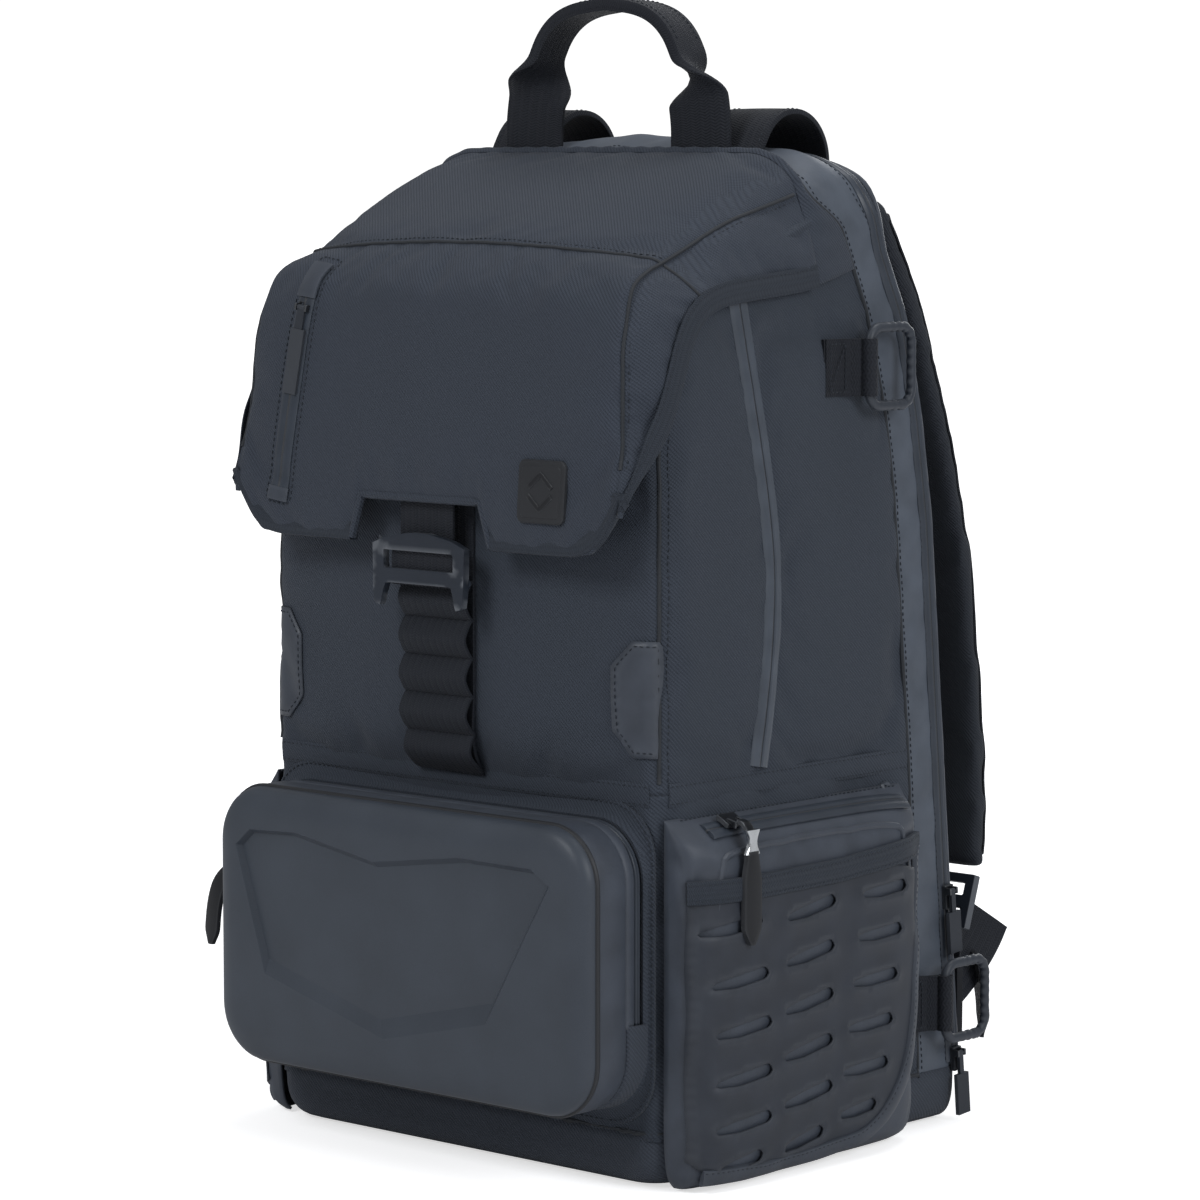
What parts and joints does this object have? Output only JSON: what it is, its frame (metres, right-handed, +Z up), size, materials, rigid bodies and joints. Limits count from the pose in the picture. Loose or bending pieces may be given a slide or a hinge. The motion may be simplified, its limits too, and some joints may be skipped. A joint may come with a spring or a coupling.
{
  "type": "drone backpack",
  "caption": "Backpack-style case for a folded drone: hooked lid, moulded front pocket, slotted side pockets, zipped opening back panel with shoulder straps.",
  "frame": {"origin": "centre of the base, on the ground", "axes": "+X to the right seen from the front, +Y towards the wearer's back panel, +Z up"},
  "size_m": [0.3354, 0.3614, 0.603],
  "materials": {
    "woven_cloth": "twill weave polyester, semi-matt",
    "base_cloth": "heavy woven polyester, matt",
    "coated_cloth": "smooth coated cloth, satin",
    "slotted_laminate": "smooth laser-cut laminate, matt",
    "moulded_shell": "moulded foam-backed shell, fine matt film",
    "webbing": "ribbed nylon webbing",
    "back_cloth": "woven polyester over foam",
    "air_mesh": "spacer mesh over foam",
    "strap_cloth": "woven polyester over foam with edge tape",
    "lining": "brushed knit lining over foam",
    "zip_tape": "coated reverse coil zip",
    "hard_plastic": "moulded acetal, fine grain",
    "rubber_badge": "soft moulded patch",
    "zip_slider": "black painted die cast",
    "zip_pull": "soft moulded pull on a cord"
  },
  "bodies": {
    "bag": {"front_panel": "woven_cloth", "lower_front_panel": "woven_cloth", "side_panel_right": "woven_cloth", "side_panel_left": "woven_cloth", "base_panel": "base_cloth", "top_collar": "woven_cloth", "rear_gusset": "coated_cloth", "rear_zip": "zip_tape", "belt_seam": "coated_cloth", "daisy_chain": "webbing", "side_zips": "coated_cloth", "side_pocket_right": "coated_cloth", "side_pocket_left": "coated_cloth", "slotted_panel_right": "slotted_laminate", "slotted_panel_left": "slotted_laminate", "side_pocket_zips": "zip_tape", "corner_patches": "coated_cloth", "ring_tabs": "webbing", "shelf": "lining", "padded_dividers": "lining", "pocket_base": "woven_cloth", "organiser_panel": "lining"},
    "lid": {"lid_shell": "woven_cloth", "lid_binding": "coated_cloth", "lid_zip": "coated_cloth", "lid_badge": "rubber_badge", "lid_strap": "webbing"},
    "hook": {"hook_buckle": "hard_plastic"},
    "front_door": {"hard_shell": "moulded_shell", "pocket_gusset": "coated_cloth", "front_zip": "zip_tape"},
    "back_door": {"back_panel": "back_cloth", "back_pads": "air_mesh", "lower_webbing": "webbing", "strap_bands": "webbing"},
    "strap_right": {"shoulder_strap_right": "strap_cloth", "strap_adjuster_right": "hard_plastic"},
    "strap_left": {"shoulder_strap_left": "strap_cloth", "strap_adjuster_left": "hard_plastic"},
    "chest_right": {"chest_strap_right": "webbing"},
    "chest_left": {"chest_strap_left": "webbing"},
    "handle": {"carry_handle": "webbing"},
    "ring_upper_right": {"ring_upper_right": "hard_plastic"},
    "ring_upper_left": {"ring_upper_left": "hard_plastic"},
    "ring_lower_right": {"ring_lower_right": "hard_plastic"},
    "ring_lower_left": {"ring_lower_left": "hard_plastic"},
    "lid_slider": {"lid_slider": "zip_slider"},
    "front_slider": {"front_slider": "zip_slider"},
    "side_pocket_slider_right": {"side_pocket_slider_right": "zip_slider"},
    "side_pocket_slider_left": {"side_pocket_slider_left": "zip_slider"},
    "side_slider_right": {"side_slider_right": "zip_slider"},
    "side_slider_left": {"side_slider_left": "zip_slider"},
    "rear_slider_upper": {"rear_slider_upper": "zip_slider"},
    "rear_slider_lower": {"rear_slider_lower": "zip_slider"},
    "lid_pull": {"lid_pull": "zip_pull"},
    "front_pull": {"front_pull": "zip_pull"},
    "side_pocket_pull_right": {"side_pocket_pull_right": "zip_pull"},
    "side_pocket_pull_left": {"side_pocket_pull_left": "zip_pull"},
    "rear_pull_upper": {"rear_pull_upper": "zip_pull"},
    "rear_pull_lower": {"rear_pull_lower": "zip_pull"}
  },
  "joints": [
    {"name": "lid_hinge", "type": "hinge", "parent": "bag", "child": "lid", "pos_m": [0, -0.003, 0.5262], "axis": [-1, 0, 0], "range_deg": [0, 95]},
    {"name": "hook_swing", "type": "hinge", "parent": "lid", "child": "hook", "pos_m": [0, -0.1475, 0.3205], "axis": [-1, 0, 0], "range_deg": [0, 100]},
    {"name": "front_pocket_hinge", "type": "hinge", "parent": "bag", "child": "front_door", "pos_m": [0, -0.1263, 0.04], "axis": [1, 0, 0], "range_deg": [0, 60]},
    {"name": "back_panel_hinge", "type": "hinge", "parent": "bag", "child": "back_door", "pos_m": [0, 0.1285, 0.0125], "axis": [-1, 0, 0], "range_deg": [0, 60]},
    {"name": "strap_hinge_right", "type": "hinge", "parent": "back_door", "child": "strap_right", "pos_m": [0.084, 0.072, 0.5], "axis": [1, 0, 0], "range_deg": [0, 25]},
    {"name": "strap_hinge_left", "type": "hinge", "parent": "back_door", "child": "strap_left", "pos_m": [-0.084, 0.072, 0.5], "axis": [1, 0, 0], "range_deg": [0, 25]},
    {"name": "chest_strap_slide_right", "type": "slide", "parent": "strap_right", "child": "chest_right", "axis": [0, -0.3737, 0.9276], "range_m": [-0.035, 0.035]},
    {"name": "chest_strap_slide_left", "type": "slide", "parent": "strap_left", "child": "chest_left", "axis": [0, -0.3737, 0.9276], "range_m": [-0.035, 0.035]},
    {"name": "handle_swing", "type": "hinge", "parent": "bag", "child": "handle", "pos_m": [0, 0.0025, 0.533], "axis": [-1, 0, 0], "range_deg": [-85, 0]},
    {"name": "ring_swing_upper_right", "type": "hinge", "parent": "bag", "child": "ring_upper_right", "pos_m": [0.151, 0.032, 0.414], "axis": [0, 0, -1], "range_deg": [-5, 110]},
    {"name": "ring_swing_lower_right", "type": "hinge", "parent": "bag", "child": "ring_lower_right", "pos_m": [0.151, 0.1, 0.069], "axis": [0, 0, -1], "range_deg": [-5, 110]},
    {"name": "ring_swing_upper_left", "type": "hinge", "parent": "bag", "child": "ring_upper_left", "pos_m": [-0.151, 0.032, 0.414], "axis": [0, 0, 1], "range_deg": [-5, 110]},
    {"name": "ring_swing_lower_left", "type": "hinge", "parent": "bag", "child": "ring_lower_left", "pos_m": [-0.151, 0.1, 0.069], "axis": [0, 0, 1], "range_deg": [-5, 110]},
    {"name": "lid_zip_slide", "type": "slide", "parent": "lid", "child": "lid_slider", "axis": [-0.1351, -0.0741, -0.9881], "range_m": [0, 0.09]},
    {"name": "lid_pull_swing", "type": "hinge", "parent": "lid_slider", "child": "lid_pull", "pos_m": [-0.09, -0.14481, 0.44402], "axis": [-0.9908, 0.0101, 0.1347], "range_deg": [0, 100]},
    {"name": "front_zip_slide", "type": "slide", "parent": "front_door", "child": "front_slider", "axis": [0, 0, -1], "range_m": [-0.012, 0.04]},
    {"name": "front_pull_swing", "type": "hinge", "parent": "front_slider", "child": "front_pull", "pos_m": [-0.1367, -0.1297, 0.146], "axis": [0, 1, 0], "range_deg": [0, 100]},
    {"name": "side_pocket_zip_slide_right", "type": "slide", "parent": "bag", "child": "side_pocket_slider_right", "axis": [0, 1, 0], "range_m": [0, 0.125]},
    {"name": "side_pocket_pull_swing_right", "type": "hinge", "parent": "side_pocket_slider_right", "child": "side_pocket_pull_right", "pos_m": [0.1585, -0.08, 0.187], "axis": [0, -1, 0], "range_deg": [0, 100]},
    {"name": "side_zip_slide_right", "type": "slide", "parent": "bag", "child": "side_slider_right", "axis": [0, 0.2361, -0.9717], "range_m": [0, 0.085]},
    {"name": "side_pocket_zip_slide_left", "type": "slide", "parent": "bag", "child": "side_pocket_slider_left", "axis": [0, 1, 0], "range_m": [0, 0.125]},
    {"name": "side_pocket_pull_swing_left", "type": "hinge", "parent": "side_pocket_slider_left", "child": "side_pocket_pull_left", "pos_m": [-0.1585, -0.08, 0.187], "axis": [0, 1, 0], "range_deg": [0, 100]},
    {"name": "side_zip_slide_left", "type": "slide", "parent": "bag", "child": "side_slider_left", "axis": [0, 0.2361, -0.9717], "range_m": [0, 0.085]},
    {"name": "rear_zip_slide_upper", "type": "slide", "parent": "bag", "child": "rear_slider_upper", "axis": [0, -0.0905, 0.9959], "range_m": [0, 0.17]},
    {"name": "rear_pull_swing_upper", "type": "hinge", "parent": "rear_slider_upper", "child": "rear_pull_upper", "pos_m": [0.1458, 0.11186, 0.128], "axis": [0, -0.9959, -0.0905], "range_deg": [0, 100]},
    {"name": "rear_zip_slide_lower", "type": "slide", "parent": "bag", "child": "rear_slider_lower", "axis": [0, -0.0905, 0.9959], "range_m": [0, 0.04]},
    {"name": "rear_pull_swing_lower", "type": "hinge", "parent": "rear_slider_lower", "child": "rear_pull_lower", "pos_m": [0.1458, 0.12004, 0.038], "axis": [0, -0.9959, -0.0905], "range_deg": [0, 100]}
  ]
}
